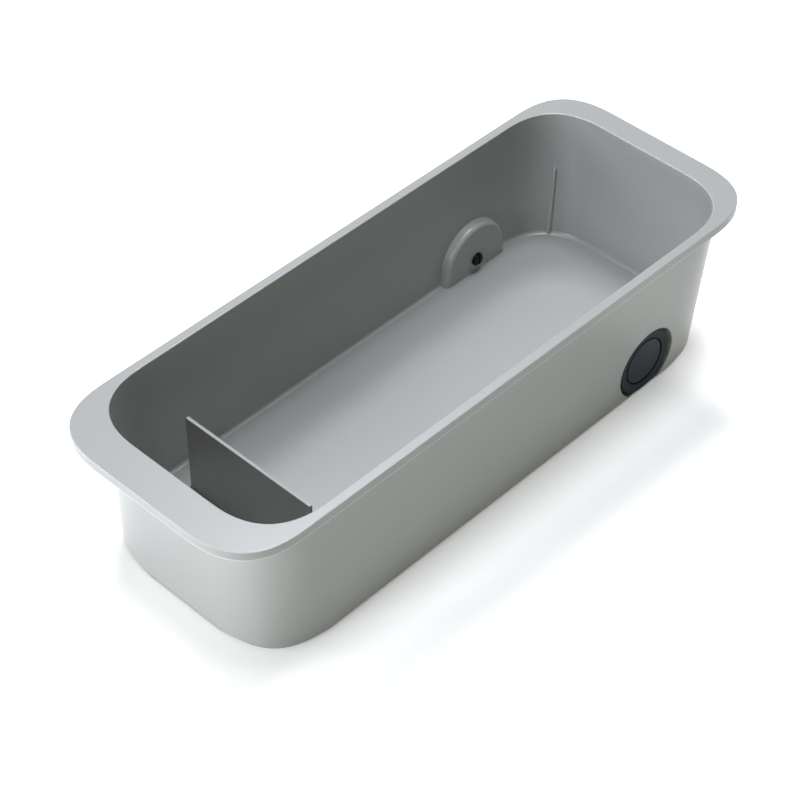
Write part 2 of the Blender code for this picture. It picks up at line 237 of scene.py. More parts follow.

# %% [markdown]
# ## One recipe for six finishes
# A finish is a colour, how rough and how coarse it is, and how much its edges have
# been handled; edges lightened beyond wear are painted highlight. The Principled shader
# stands in each material itself; the two groups only hand it masks and heights.
# Colours are linear values.

# %% The finishes
def moulded_finish(name, colour, roughness, grain_size=0.0004, grain_depth=0.00001,
                   cloud_tone=0.05, cloud_gloss=0.10, edge_reach=0.6, edge_wear_and_highlight_tone=0.06,
                   edge_gloss=0.08, polished=None, polish=0.13, painted_line_levels=None, painted_line_tone=2.1,
                   specular=0.5, coat=0.0, coat_roughness=0.13):
    """A moulded plastic or rubber.

    polished: the levels between which a bend that looks up is smoother.
    painted_line_levels: the levels between which an edge is painted much lighter, a painted
    highlight line.
    """
    material = bpy.data.materials.new(name)
    material.use_nodes = True
    sheet = NodeSheet(material.node_tree)
    shader = material.node_tree.nodes["Principled BSDF"]
    coordinates = sheet.node("ShaderNodeTexCoord").outputs
    place = coordinates["Object"]
    grain = sheet.node("ShaderNodeGroup", {"Place": place, "Grain Size": grain_size},
                       node_tree=moulded_grain).outputs
    edge_mask = sheet.node("ShaderNodeGroup", {"Place": place, "Reach": edge_reach},
                      node_tree=edge_wear_and_highlight).outputs["Edge Mask"]
    tone = sheet.math("MULTIPLY_ADD", grain["Clouds"], cloud_tone, 1.0)
    tone = sheet.math("MULTIPLY_ADD", grain["Speckle"], cloud_tone, tone)
    # Convex edges are lighter: a touch for wear, and far more on the tray, which is painted
    # highlight.
    tone = sheet.math("MULTIPLY_ADD", edge_mask, edge_wear_and_highlight_tone, tone)
    level = sheet.parts(place)[2]
    # Painted highlight: in a thin band an edge is painted up to about three times lighter, a light
    # line along the lip's lower edge.
    if painted_line_levels:
        on_painted_line = sheet.times(edge_mask, sheet.between(level, *painted_line_levels))
        tone = sheet.math("MULTIPLY_ADD", on_painted_line, painted_line_tone, tone)
    shade = sheet.node("ShaderNodeVectorMath", {0: colour, "Scale": tone}, operation="SCALE")
    rough = sheet.math("MULTIPLY_ADD", grain["Clouds"], cloud_gloss, roughness)
    rough = sheet.math("MULTIPLY_ADD", edge_mask, -edge_gloss, rough)
    if polished:
        facing_up = sheet.parts(coordinates["Normal"])[2]
        on_bend = sheet.times(sheet.between(level, *polished),
                             sheet.between(facing_up, *looking_up))
        rough = sheet.math("MULTIPLY_ADD", on_bend, -polish, rough)
    bump = sheet.node("ShaderNodeBump", {"Strength": 1.0, "Distance": grain_depth,
                                         "Height": grain["Grain Height"]})
    sheet.feed(shader, {
        "Base Color": shade.outputs[0], "Roughness": rough, "Normal": bump.outputs["Normal"],
        "Specular IOR Level": specular, "Coat Weight": coat, "Coat Roughness": coat_roughness})
    material.diffuse_color = colour + (1.0,)
    sheet.done(name)
    return material


looking_up = (0.12, 1.0)
# Levels of the floor's bend, made glossier, and of the lip's lower edge, which gets a painted
# highlight line.
floor_bend_levels, lip_highlight_levels = (0.01365, 0.0162), (0.1011, 0.1026)
# The tray's edges are painted much lighter than wear makes them: painted highlight along the rim,
# mouth and lip edges.
tray_finish = moulded_finish(
    "satin_grey_tray", (0.381, 0.383, 0.371), 0.31, edge_reach=1.0, edge_wear_and_highlight_tone=0.30,
    edge_gloss=0.14, polished=floor_bend_levels, painted_line_levels=lip_highlight_levels, coat=0.12)
divider_finish = moulded_finish("satin_grey_divider", (0.387, 0.388, 0.376), 0.34, coat=0.2)
hub_finish = moulded_finish("dark_hub_plastic", (0.004, 0.006, 0.009), 0.45, specular=0.15)
pin_finish = moulded_finish(
    "dark_cap_plastic", (0.003, 0.008, 0.013), 0.42, edge_wear_and_highlight_tone=0.3, specular=0.15)
tyre_finish = moulded_finish(
    "dark_tyre_rubber", (0.005, 0.012, 0.017), 0.62, grain_size=0.0006, edge_wear_and_highlight_tone=0.3,
    specular=0.20)
foot_finish = moulded_finish("grey_foot_rubber", (0.10, 0.10, 0.11), 0.8, grain_size=0.0006)

# %% [markdown]
# ## The sizes
# All lengths are in metres and repeat those of the solid model. X runs across the tray,
# Y from the front rim to the rear, and Z up from the ground.

# %% Sizes of the tray
rim_length, rim_width = 0.4500, 0.1676
front_rim, rear_rim, side_rim = 0.0248, 0.0169, 0.0062
overall_height, base_level, floor_height = 0.1078, 0.0018, 0.0136
wall, floor_thickness, rim_thickness = 0.0025, 0.0025, 0.0024
lip_height, lip_thickness = 0.0066, 0.0022
rim_edge, lip_edge, base_edge, inner_edge = 0.0006, 0.0006, 0.0010, 0.0006
floor_fillet = 0.0026
side_draft, front_draft, rear_draft = 0.0029, 0.0020, 0.0085
# Front corner, rear corner and power of each outline
rim_corners, mouth_corners = (0.0530, 0.0496, 2.87), (0.0480, 0.0460, 2.58)
base_corners = (0.0610, 0.0660, 3.30)

rim_top = overall_height
wall_top = overall_height - lip_height
rim_underside = overall_height - rim_thickness
floor_underside = floor_height - floor_thickness
floor_middle = floor_underside + floor_thickness / 2
half_length, half_width = rim_length / 2, rim_width / 2
sides = ((-1, "left"), (1, "right"))
mouth_half = half_width - side_rim
print("wall top at", round(wall_top * 1000, 1), "mm, floor at", round(floor_height * 1000, 1), "mm")

# %% [markdown]
# ## The tray's outline
# Seen from above the tray is a rounded rectangle, three times over: the rim, the mouth
# and the base. An arc of a circle would meet a straight side with a sudden bend that a
# reflection shows, so each corner is a superellipse, which eases in. One group gives a
# point of an outline and serves all three.

# %% Tree: a point on a rounded outline
sheet, given, result = new_tree(
    "rounded_outline", "GeometryNodeTree",
    [("Half Width", FLOAT, 0.1), ("Front", FLOAT, -0.2), ("Rear", FLOAT, 0.2),
     ("Front Corner", FLOAT, 0.05), ("Rear Corner", FLOAT, 0.05), ("Power", FLOAT, 2.5),
     ("Inset", FLOAT, 0.0), ("Side", FLOAT, 1.0), ("End", FLOAT, 1.0), ("Angle", FLOAT, 0.0)],
    [("X", FLOAT), ("Y", FLOAT)])
at_rear = sheet.math("GREATER_THAN", given["End"], 0.0)
corner = sheet.mix(at_rear, given["Front Corner"], given["Rear Corner"])
radius = sheet.minus(corner, given["Inset"])
half = sheet.minus(given["Half Width"], given["Inset"])
edge_y = sheet.mix(at_rear, given["Front"], given["Rear"])
reach = sheet.math("ADD", radius, given["Inset"])
exponent = sheet.math("DIVIDE", 2.0, given["Power"])
cosine = sheet.math("MAXIMUM", sheet.math("COSINE", given["Angle"]), 0.0)
sine = sheet.math("MAXIMUM", sheet.math("SINE", given["Angle"]), 0.0)
across = sheet.times(radius, sheet.math("POWER", cosine, exponent))
along = sheet.times(radius, sheet.math("POWER", sine, exponent))
from_middle = sheet.math("ADD", sheet.minus(half, radius), across)
from_edge = sheet.minus(along, reach)
sheet.feed(result, {"X": sheet.times(given["Side"], from_middle),
                    "Y": sheet.math("MULTIPLY_ADD", given["End"], from_edge, edge_y)})
rounded_outline = sheet.done()

# %% [markdown]
# ## A skin through a section
# The tray's shell and the turned pieces are both a grid that is rolled round: its rows
# are the points of a section, its columns go round the piece. These helpers write down
# what the two trees share.

# %% Helpers: the shared parts of a tree
def section_grid(sheet, given, columns):
    """A grid with one row per point of the section, the share round it, and its row."""
    size = sheet.node("GeometryNodeAttributeDomainSize", {"Geometry": given["Section"]})
    rows = size.outputs["Point Count"]
    grid = sheet.node("GeometryNodeMeshGrid", {
        "Vertices X": sheet.math("ADD", columns, 1.0), "Vertices Y": rows})
    round_share, row_share, unused = sheet.parts(grid.outputs["UV Map"])
    last_row = sheet.minus(rows, 1.0)
    row = sheet.math("ROUND", sheet.times(row_share, last_row))
    return grid, round_share, row


def of_section(sheet, given, row, value, kind):
    """The value that the section's point has for this row."""
    inputs = {"Geometry": given["Section"], "Value": value, "Index": row}
    sample = sheet.node("GeometryNodeSampleIndex", inputs, data_type=kind, domain="POINT")
    return sample.outputs["Value"]


def close_skin(sheet, given, result, grid, place):
    """Put the grid's points in their places, weld what meets, and set the finish."""
    geometry = grid.outputs["Mesh"]
    for kind, inputs in (("SetPosition", {"Position": place}),
                         ("MergeByDistance", {"Distance": given["Weld"]}),
                         ("RealizeInstances", {}),
                         ("SetMaterial", {"Material": given["Finish"]})):
        step = sheet.node("GeometryNode" + kind, {"Geometry": geometry, **inputs})
        geometry = step.outputs["Geometry"]
    sheet.feed(result, {"Piece": geometry})
    return sheet.done()


print("helpers for trees ready")

# %% [markdown]
# ## The tray's shell
# A shell with one section all round is a stack of rings. Each point of the section
# says how its ring is made: how far it is moved in, at what level it lies, whether it
# follows the rim or the wall, and how far it has closed in towards the middle of the
# floor. The wall leans, so its rings blend from the mouth to the base.

# %% Tree: the tray's shell
outline_sizes = ("Half Width", "Front", "Rear", "Front Corner", "Rear Corner", "Power")
shell_inputs = [("Section", GEOMETRY, None), ("Corner Steps", INTEGER, 40),
                ("Wall Top", FLOAT, 0.1), ("Base Level", FLOAT, 0.0), ("Weld", FLOAT, 0.000002)]
for family in ("Rim", "Wall", "Base"):
    shell_inputs += [(family + " " + size, FLOAT, 0.1) for size in outline_sizes]
shell_inputs.append(("Finish", MATERIAL, None))
sheet, given, result = new_tree(
    "tray_shell", "GeometryNodeTree", shell_inputs, [("Piece", GEOMETRY)])
turns = sheet.math("ADD", given["Corner Steps"], 1.0)
columns = sheet.times(turns, 4.0)
grid, round_share, row = section_grid(sheet, given, columns)
column = sheet.math("ROUND", sheet.times(round_share, columns))

# Which corner a column is in, and how far round it: even corners turn one way
whole_corners = sheet.math("FLOOR", sheet.math("DIVIDE", column, turns))
corner_number = sheet.math("FLOORED_MODULO", whole_corners, 4.0)
step = sheet.math("FLOORED_MODULO", column, turns)
share = sheet.math("DIVIDE", step, given["Corner Steps"])
odd = sheet.math("FLOORED_MODULO", corner_number, 2.0)
share = sheet.mix(odd, share, sheet.minus(1.0, share))
# The steps are finer where a corner bends most; the last one is set to a right angle
corner_ease, right_angle, hair = 1.45, math.pi / 2, 0.0001
even_angle = sheet.times(share, right_angle)
tangent = sheet.math("TANGENT", sheet.math("MINIMUM", even_angle, right_angle - hair))
eased = sheet.math("POWER", sheet.math("MAXIMUM", tangent, 0.0), corner_ease)
at_end = sheet.math("GREATER_THAN", share, 1.0 - hair)
angle = sheet.mix(at_end, sheet.math("ARCTANGENT", eased), right_angle)
# Corners 0 and 3 are on the right, corners 0 and 1 at the rear
off_middle = sheet.math("ABSOLUTE", sheet.minus(corner_number, 1.5))
side = sheet.math("SIGN", sheet.minus(off_middle, 1.0))
end = sheet.math("SIGN", sheet.minus(1.5, corner_number))

section_labels = ("inset", "level", "rim", "closing")
of_ring = {}
for label in section_labels:
    named = sheet.node("GeometryNodeInputNamedAttribute", {"Name": label}, data_type="FLOAT")
    of_ring[label] = of_section(sheet, given, row, named.outputs["Attribute"], "FLOAT")
places = []
for family in ("Rim", "Wall", "Base"):
    inputs = {label: given[family + " " + label] for label in outline_sizes}
    inputs.update({"Inset": of_ring["inset"], "Side": side, "End": end, "Angle": angle})
    point = sheet.node("GeometryNodeGroup", inputs, node_tree=rounded_outline)
    places.append((point.outputs["X"], point.outputs["Y"]))
drop = sheet.minus(given["Wall Top"], of_ring["level"])
fall = sheet.minus(given["Wall Top"], given["Base Level"])
lean = sheet.math("MAXIMUM", sheet.math("DIVIDE", drop, fall), 0.0)
lean = sheet.math("MINIMUM", lean, 1.0)
ring_place = []
for rim_value, wall_value, base_value in zip(*places):
    leaning = sheet.mix(lean, wall_value, base_value)
    ring_place.append(sheet.mix(of_ring["rim"], leaning, rim_value))
middle = sheet.times(sheet.math("ADD", given["Base Front"], given["Base Rear"]), 0.5)
x = sheet.times(ring_place[0], sheet.minus(1.0, of_ring["closing"]))
y = sheet.mix(of_ring["closing"], ring_place[1], middle)
place = sheet.vector(x, y, of_ring["level"])
tray_shell_tree = close_skin(sheet, given, result, grid, place)

# %% [markdown]
# ## Running a tree
# A tree works as a modifier. Its inputs are set by each socket's identifier, then the
# evaluated result is copied to a plain mesh, so that nothing in the finished piece
# depends on the tree. A small report says what came out, and if its skin is closed.

# %% Helpers: run a tree, report a mesh
def chain_object(name, points, values=None):
    """An object whose mesh is a chain of points, with one number per point and label."""
    mesh = bpy.data.meshes.new(name)
    edges = [(first, first + 1) for first in range(len(points) - 1)]
    mesh.from_pydata(points, edges, [])
    for label, numbers in (values or {}).items():
        layer = mesh.attributes.new(label, "FLOAT", "POINT")
        layer.data.foreach_set("value", np.array(numbers, np.float32))
    return new_object(name, mesh)


def plain_mesh(thing):
    """Replace an object's mesh by its evaluated form, and take off its modifiers."""
    bpy.context.view_layer.update()
    evaluated = thing.evaluated_get(bpy.context.evaluated_depsgraph_get())
    mesh = bpy.data.meshes.new_from_object(evaluated)
    thing.modifiers.clear()
    old = thing.data
    thing.data = mesh
    bpy.data.meshes.remove(old)
    mesh.name = thing.name
    return thing


def run_tree(thing, tree, settings):
    """Give an object the result of a geometry tree."""
    step = thing.modifiers.new(tree.name, "NODES")
    step.node_group = tree
    for item in tree.interface.items_tree:
        if item.in_out == "INPUT" and item.name in settings:
            step[item.identifier] = settings[item.name]
    return plain_mesh(thing)


def report(thing):
    """Print a mesh's size, and how many triangles and open edges it has."""
    work = bmesh.new()
    work.from_mesh(thing.data)
    open_edges = sum(1 for edge in work.edges if len(edge.link_faces) != 2)
    triangles = sum(len(face.verts) - 2 for face in work.faces)
    work.free()
    size = [round(length * 1000, 2) for length in thing.dimensions]
    print(f"{thing.name}: {size} mm, {triangles} triangles, {open_edges} open edges")


print("helpers ready")

# %% [markdown]
# ## The section of the tray
# The chain starts in the middle of the floor's underside, runs out and down the inside
# of the skirt, round the base edge, up the wall, round the rim, and back down the
# inside to the middle of the floor. Every bend is a quarter of a circle. One more ring
# just above the lip's lower edge keeps the painted highlight line that runs along it thin.

# %% Piece: the tray's shell
def spread(start, end, steps):
    """Values in even steps, with both ends."""
    return [start + (end - start) * step / steps for step in range(steps + 1)]


def quarter(steps=8, start=0.0):
    """Pairs of 1 - cosine and 1 - sine, from an angle to a right angle."""
    return [(1 - math.cos(angle), 1 - math.sin(angle))
            for angle in spread(start, math.pi / 2, steps)]


section = []


def ring(inset, level, rim=0.0, closing=0.0):
    """Add one ring of the section."""
    section.append((inset, level, rim, closing))


def bend(inset, level, radius, away, upward, rim=0.0, reverse=False):
    """Add a rounded edge whose sharp corner would be at (inset, level)."""
    for across, along in (reversed(quarter()) if reverse else quarter()):
        ring(inset + away * radius * across, level + upward * radius * along, rim)


closings, quarters = (0.2, 0.6, 1.0), (0.0, 0.25, 0.5, 0.75, 1.0)
for closing in reversed(closings):
    ring(wall, floor_underside, closing=closing)
bend(wall, floor_underside, 2 * inner_edge, 1, -1, reverse=True)
bend(wall, base_level, lip_edge / 2, -1, 1)
bend(0.0, base_level, base_edge, 1, 1, reverse=True)
for share in quarters[1:]:
    ring(0.0, base_level + base_edge + (wall_top - base_level - base_edge) * share)
bend(0.0, rim_underside, inner_edge, -1, -1)
bend(lip_thickness, rim_underside, inner_edge, 1, -1, rim=1.0, reverse=True)
bend(lip_thickness, wall_top, lip_edge / 2, -1, 1, rim=1.0)
bend(0.0, wall_top, lip_edge, 1, 1, rim=1.0, reverse=True)
ring(0.0, wall_top + 2 * lip_edge, rim=1.0)
bend(0.0, rim_top, rim_edge, 1, -1, rim=1.0)
bend(wall, rim_top, rim_edge, -1, -1, reverse=True)
for share in quarters[:-1]:
    ring(wall, wall_top + (floor_height + floor_fillet - wall_top) * share)
bend(wall, floor_height, floor_fillet, 1, 1)
for closing in closings:
    ring(wall + floor_fillet, floor_height, closing=closing)

tray = chain_object(
    "tray_shell", [(float(place), 0.0, 0.0) for place in range(len(section))],
    dict(zip(section_labels, zip(*section))))
rim_sizes = (half_width, -half_length, half_length) + rim_corners
wall_half = mouth_half + wall
wall_front, wall_rear = front_rim - half_length - wall, half_length - rear_rim + wall
wall_sizes = (wall_half, wall_front, wall_rear,
              mouth_corners[0] + wall, mouth_corners[1] + wall, mouth_corners[2])
base_half = wall_half - side_draft
base_sizes = (base_half, wall_front + front_draft, wall_rear - rear_draft) + base_corners
settings = {"Corner Steps": 40, "Wall Top": wall_top, "Base Level": base_level,
            "Finish": tray_finish}
for family, sizes in (("Rim", rim_sizes), ("Wall", wall_sizes), ("Base", base_sizes)):
    settings.update(zip((family + " " + label for label in outline_sizes), sizes))
run_tree(tray, tray_shell_tree, settings)
report(tray)

# %% [markdown]
# ## Joining moulded features
# A wheel well, a rib or a boss is part of the same shot of plastic, so a Boolean joins
# it to the shell as one closed skin. A hump meets the wall with a small flare that lies
# almost flat on it, as in a real mould, and the join then shades as one surface.

# %% Helpers: closed lofts and joins
def write_outwards(work, mesh):
    """Turn all faces outwards and write them to a mesh."""
    bmesh.ops.recalc_face_normals(work, faces=work.faces)
    work.to_mesh(mesh)
    work.free()


def closed_loft(name, rings):
    """A closed solid through rings of equal point counts, with its faces outwards."""
    work = bmesh.new()
    rows = [[work.verts.new(point) for point in points] for points in rings]
    for lower, upper in zip(rows, rows[1:]):
        for place in range(len(lower)):
            after = (place + 1) % len(lower)
            work.faces.new((lower[place], lower[after], upper[after], upper[place]))
    work.faces.new(rows[0])
    work.faces.new(rows[-1])
    mesh = bpy.data.meshes.new(name)
    write_outwards(work, mesh)
    return new_object(name, mesh)


def join(thing, other, operation):
    """Unite with another solid or cut it away, then remove it."""
    step = thing.modifiers.new(other.name, "BOOLEAN")
    step.operation = operation
    step.solver = "MANIFOLD"
    step.object = other
    plain_mesh(thing)
    bpy.data.meshes.remove(other.data)


def soften(thing, width, segments, limit):
    """Round a solid's edges; with the limit ANGLE, only those above 60 degrees."""
    step = thing.modifiers.new("edges", "BEVEL")
    step.width, step.segments = width, segments
    step.limit_method, step.angle_limit = limit, math.radians(60)
    return plain_mesh(thing)


def wall_x(level):
    """How far out the side wall's outer face stands at a level."""
    lean = min(max((wall_top - level) / (wall_top - base_level), 0.0), 1.0)
    return wall_half - side_draft * lean


print("side wall at the axle, mm:", round(wall_x(0.023) * 1000, 2))

# %% [markdown]
# ## Wheel wells
# Each rear wheel turns in a round pocket of the side wall. Inside the tray it shows as
# a hump with a flat face, a broad rounded edge and sides that spread a little towards
# the floor. The hump is a stack of arches; the pocket is a turned shape, cut from
# outside, and its mouth is rounded along the leaning wall.

# %% Pieces: the wheel wells
wheel_radius, wheel_width, axle_y = 0.0232, 0.0049, 0.1287
wheel_sink, behind_wheel, well_wall = 0.0016, 0.0004, 0.0016
wheel_face = wall_x(wheel_radius) - wheel_sink
wheel_back = wheel_face - wheel_width
well_floor = wheel_back - behind_wheel
well_face = well_floor - well_wall
well_radius = wheel_radius + 0.0021
shoulder = well_radius + 0.0019
hump_edge, hump_taper, hump_spread, foot_flare = 0.0030, 0.0008, 0.18, 0.0003
mouth_edge, pocket_edge = 0.0005, 0.0006
hole_radius, hole_step, past_face = 0.0043, 0.0003, 0.0020
arch_steps, round_steps, skirt_steps = 48, 120, 16
start_angle = math.radians(6)


def flare(radius, steps=6):
    """Pairs of (distance off the wall, extra reach) of a concave foot."""
    return [(radius * off, radius * reach) for off, reach in quarter(steps, start_angle)]


def around_axle(radius, angle):
    """A point (y, z) on a circle about the axle."""
    return axle_y + radius * math.cos(angle), wheel_radius + radius * math.sin(angle)


def arch(radius, bottom):
    """(y, z) points over a wheel well: a half circle on two spreading sides."""
    widening = hump_spread * (wheel_radius - bottom)
    points = [(axle_y + radius + widening, bottom)]
    points += [around_axle(radius, angle) for angle in spread(0.0, math.pi, arch_steps)]
    points.append((axle_y - radius - widening, bottom))
    return points


def hump(name, side):
    """The housing of a wheel as it stands inside the tray."""
    outer_end = wall_x(wheel_radius) - wall / 2
    inner_end = well_face + hump_edge
    foot = flare(foot_flare)
    rings = []
    for off_wall, reach in [(-wall / 2, foot[0][1])] + foot:
        x_axle = wall_x(wheel_radius) - wall - off_wall
        taper = hump_taper * (x_axle - inner_end) / (outer_end - inner_end)
        points = arch(shoulder + taper + reach, floor_middle)
        rings.append([(side * (wall_x(z) - wall - off_wall), y, z) for y, z in points])
    for inwards, outwards in quarter(10):
        points = arch(shoulder - hump_edge * inwards, floor_middle)
        rings.append([(side * (well_face + hump_edge * outwards), y, z) for y, z in points])
    return closed_loft(name, rings)


def skirt(name, side):
    """The housing below the floor: the same round, cut off above the base."""
    bottom = base_level + 0.0003
    start = math.asin((wheel_radius - floor_middle) / shoulder)
    end = math.asin((wheel_radius - bottom) / shoulder)
    half = [(shoulder * math.cos(turn), wheel_radius - shoulder * math.sin(turn))
            for turn in spread(start, end, skirt_steps)]
    points = [(axle_y + y, z) for y, z in half] + [(axle_y - y, z) for y, z in reversed(half)]
    outer = base_half - wall / 2
    rings = [[(side * x, y, z) for y, z in points] for x in (well_face, outer)]
    return closed_loft(name, rings)


def pocket(name, side):
    """The cutter for a wheel's pocket and the hole of its axle pin."""
    profile = [(well_radius + mouth_edge, past_face, True)]
    profile += [(well_radius + reach, -off, True) for off, reach in flare(mouth_edge, 5)]
    profile += [(well_radius - pocket_edge * inwards, well_floor + pocket_edge * outwards, False)
                for inwards, outwards in quarter(5)]
    profile += [(hole_radius, well_floor, False), (hole_radius, well_face + hole_step, False),
                (hole_radius + hole_step, well_face, False),
                (hole_radius + hole_step, well_face - past_face, False)]
    rings = []
    for radius, x, on_wall in profile:
        points = [around_axle(radius, angle)
                  for angle in spread(0.0, 2 * math.pi, round_steps)[:-1]]
        rings.append([(side * (wall_x(z) + x if on_wall else x), y, z) for y, z in points])
    return closed_loft(name, rings)


for side, label in sides:
    join(tray, hump(label + "_hump", side), "UNION")
    join(tray, skirt(label + "_skirt", side), "UNION")
    join(tray, pocket(label + "_pocket", side), "DIFFERENCE")
report(tray)

# %% [markdown]
# ## Nesting ribs and divider channel
# A thin upright fin in each corner keeps stacked trays from jamming; its top slopes
# back into the wall. The divider stands in a low channel on the floor.

# %% Ribs and channel
rib_top, rib_depth, rib_crest, crest_steps = floor_height + 0.0534, 0.0020, 0.00035, 6
rib_half_low, rib_half_high = 0.0020, 0.0013
rib_angle_low, rib_angle_high = math.radians(50.5), math.radians(51.4)
divider_y, divider_half, divider_thickness, divider_top = -0.1442, 0.0523, 0.0024, 0.0779
slot_floor, fit_gap = floor_height + 0.0012, 0.0003


def outline_point(sizes, side, end, angle, inset):
    """A point on a rounded outline, by the same rule as the tree's."""
    half, front, rear, front_corner, rear_corner, power = sizes
    corner = rear_corner if end > 0 else front_corner
    radius = corner - inset
    across = radius * math.cos(angle) ** (2 / power)
    along = radius * math.sin(angle) ** (2 / power)
    edge = rear if end > 0 else front
    return Vector((side * (half - corner + across), edge + end * (along - corner), 0.0))


def wall_place(side, end, angle, level, inset):
    """A point of the wall's corner at a level, moved in from its outer face."""
    share = (wall_top - level) / (wall_top - base_level)
    high = outline_point(wall_sizes, side, end, angle, inset)
    low = outline_point(base_sizes, side, end, angle, inset)
    place = high.lerp(low, share)
    place.z = level
    return place


def rib_ring(side, end, level, depth):
    """One ring of a rib: two straight flanks and a narrow rounded crest."""
    share = (level - floor_underside) / (rib_top - floor_underside)
    angle = rib_angle_low + (rib_angle_high - rib_angle_low) * share
    half = rib_half_low + (rib_half_high - rib_half_low) * share
    root = wall_place(side, end, angle, level, wall / 2)
    crest = wall_place(side, end, angle, level, wall + depth)
    out = (crest - root).normalized()
    across = out.cross(Vector((0.0, 0.0, 1.0)))
    root_half = half * (rib_depth + wall / 2) / rib_depth
    points = [root - across * root_half, root + across * root_half]
    reach = math.atan2(rib_depth, half)
    for step in range(crest_steps + 1):
        turn = reach * (1 - step / (crest_steps / 2))
        aside, back = rib_crest * math.sin(turn), rib_crest * (math.cos(turn) - 1)
        points.append(crest + across * aside + out * back)
    return points


def rib(name, side, end):
    """A ridge part of the way up a corner; its top slopes back into the wall."""
    slope = rib_depth * 1.2
    low, high = floor_height - floor_thickness / 2, rib_top - slope
    levels = [(low + (high - low) * share, rib_depth) for share in quarters]
    levels += [(rib_top - slope * 0.6, rib_depth * 0.8), (rib_top, -wall / 4)]
    return closed_loft(name, [rib_ring(side, end, level, depth) for level, depth in levels])


def rounded_box(name, low, high, edge):
    """A box with rounded edges."""
    low, high = Vector(low), Vector(high)
    corners = [(low.x, low.y), (high.x, low.y), (high.x, high.y), (low.x, high.y)]
    thing = closed_loft(name, [[(x, y, z) for x, y in corners] for z in (low.z, high.z)])
    return soften(thing, edge, 3, "NONE")


for side in (-1, 1):
    for end in (-1, 1):
        join(tray, rib("rib", side, end), "UNION")

channel_half, channel_depth = divider_half + fit_gap, divider_thickness / 2 + fit_gap
channel_wall, channel_top = 0.0020, floor_height + 0.0060
join(tray, rounded_box(
    "channel",
    (-channel_half - channel_wall, divider_y - channel_depth - channel_wall, floor_middle),
    (channel_half + channel_wall, divider_y + channel_depth + channel_wall, channel_top),
    inner_edge), "UNION")
join(tray, rounded_box(
    "slot", (-channel_half, divider_y - channel_depth, slot_floor),
    (channel_half, divider_y + channel_depth, channel_top + channel_wall),
    inner_edge / 4), "DIFFERENCE")
report(tray)

# %% [markdown]
# ## Turned pieces
# Hubs, tyres, pins and feet are half sections turned about an axis. A section that ends
# on the axis closes in a pole, one that comes back to its first point closes in a ring.

# %% Tree: a turned piece
sheet, given, result = new_tree(
    "turned_piece", "GeometryNodeTree",
    [("Section", GEOMETRY, None), ("Steps", INTEGER, 96), ("Weld", FLOAT, 0.000002),
     ("Finish", MATERIAL, None)], [("Piece", GEOMETRY)])
grid, round_share, row = section_grid(sheet, given, given["Steps"])
turn = sheet.times(round_share, 2 * math.pi)
position = sheet.node("GeometryNodeInputPosition").outputs[0]
point = of_section(sheet, given, row, position, "FLOAT_VECTOR")
radius, unused, height = sheet.parts(point)
x = sheet.times(radius, sheet.math("COSINE", turn))
y = sheet.times(radius, sheet.math("SINE", turn))
turned_tree = close_skin(sheet, given, result, grid, sheet.vector(x, y, height))


def turned(name, profile, finish, steps=96):
    """A piece turned about Z; profile points are (radius, height)."""
    thing = chain_object(name, [(radius, 0.0, height) for radius, height in profile])
    run_tree(thing, turned_tree, {"Steps": steps, "Finish": finish})
    work = bmesh.new()
    work.from_mesh(thing.data)
    write_outwards(work, thing.data)
    return thing


def edge_bend(radius, height, size, outward, upward, steps=6):
    """Profile points of a rounded corner; its sharp tip would be at (radius, height)."""
    return [(radius - outward * size * across, height - upward * size * along)
            for along, across in quarter(steps)]


print("helpers for turned pieces ready")

# %% [markdown]
# ## Foot bosses
# The feet sit in turned cups that stand down from the floor's underside.

# %% Join the bosses
foot_x, foot_y, foot_height = 0.0500, -0.1630, 0.0022
stem_radius, stem_length, boss_wall = 0.0030, 0.0056, 0.0022
bore = stem_radius + fit_gap
stem_top, boss_edge = foot_height + stem_length, 0.0004
for side in (-1, 1):
    bottom, end = foot_height + fit_gap, stem_top + 0.0005
    profile = [(0.0, floor_middle), (bore + boss_wall, floor_middle)]
    profile += edge_bend(bore + boss_wall, bottom, boss_edge, 1, -1)[::-1]
    profile += [(bore, bottom), (bore, end), (0.0, end)]
    boss = turned("boss", profile, tray_finish, 48)
    boss.data.transform(Matrix.Translation((side * foot_x, foot_y, 0.0)))
    join(tray, boss, "UNION")
report(tray)

# %% [markdown]
# ## Finishing a mesh
# Smooth shading rounds every bend, edges sharper than 35 degrees stay crisp, and normals
# weighted by face area keep large flat faces flat. The "edge" attribute is the mesh's
# own mean curvature: high on a convex bend, nought on a flat face or in a hollow.

# %% Helper: finish a piece
crisp_angle = math.radians(35)


def paint_edges(thing, full_radius=0.0011):
    """Store how convex each point is: 1 on an edge of full_radius or sharper."""
    work = bmesh.new()
    work.from_mesh(thing.data)
    bent = np.zeros(len(work.verts))
    area = np.zeros(len(work.verts))
    for edge in work.edges:
        if len(edge.link_faces) == 2:
            amount = edge.calc_face_angle_signed() * edge.calc_length() / 4
            for corner in edge.verts:
                bent[corner.index] += amount
    for face in work.faces:
        share = face.calc_area() / len(face.verts)
        for corner in face.verts:
            area[corner.index] += share
    work.free()
    convex = np.clip(2 * bent / np.maximum(area, 1e-12) * full_radius, 0, 1)
    layer = thing.data.attributes.new("edge", "FLOAT", "POINT")
    layer.data.foreach_set("value", convex.astype(np.float32))


def finish(thing, body, slot, *nodes):
    """Shade a piece, store its edges, and hang it on its body in place of CAD nodes."""
    made_of = [material for material in thing.data.materials if material][-1]
    thing.data.materials.clear()
    thing.data.materials.append(made_of)
    thing.data.polygons.foreach_set("material_index", [0] * len(thing.data.polygons))
    paint_edges(thing)
    thing.data.shade_smooth()
    thing.data.set_sharp_from_angle(angle=crisp_angle)
    weigh = thing.modifiers.new("weighted normals", "WEIGHTED_NORMAL")
    weigh.keep_sharp = True
    plain_mesh(thing)
    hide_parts(*nodes)
    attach(thing, body)
    report(thing)
    return thing


finish(tray, "tray_body", "tray_plastic", "tray")

# %% [markdown]
# ## The divider
# A flat panel with rounded top corners and softened edges, which lifts straight out.

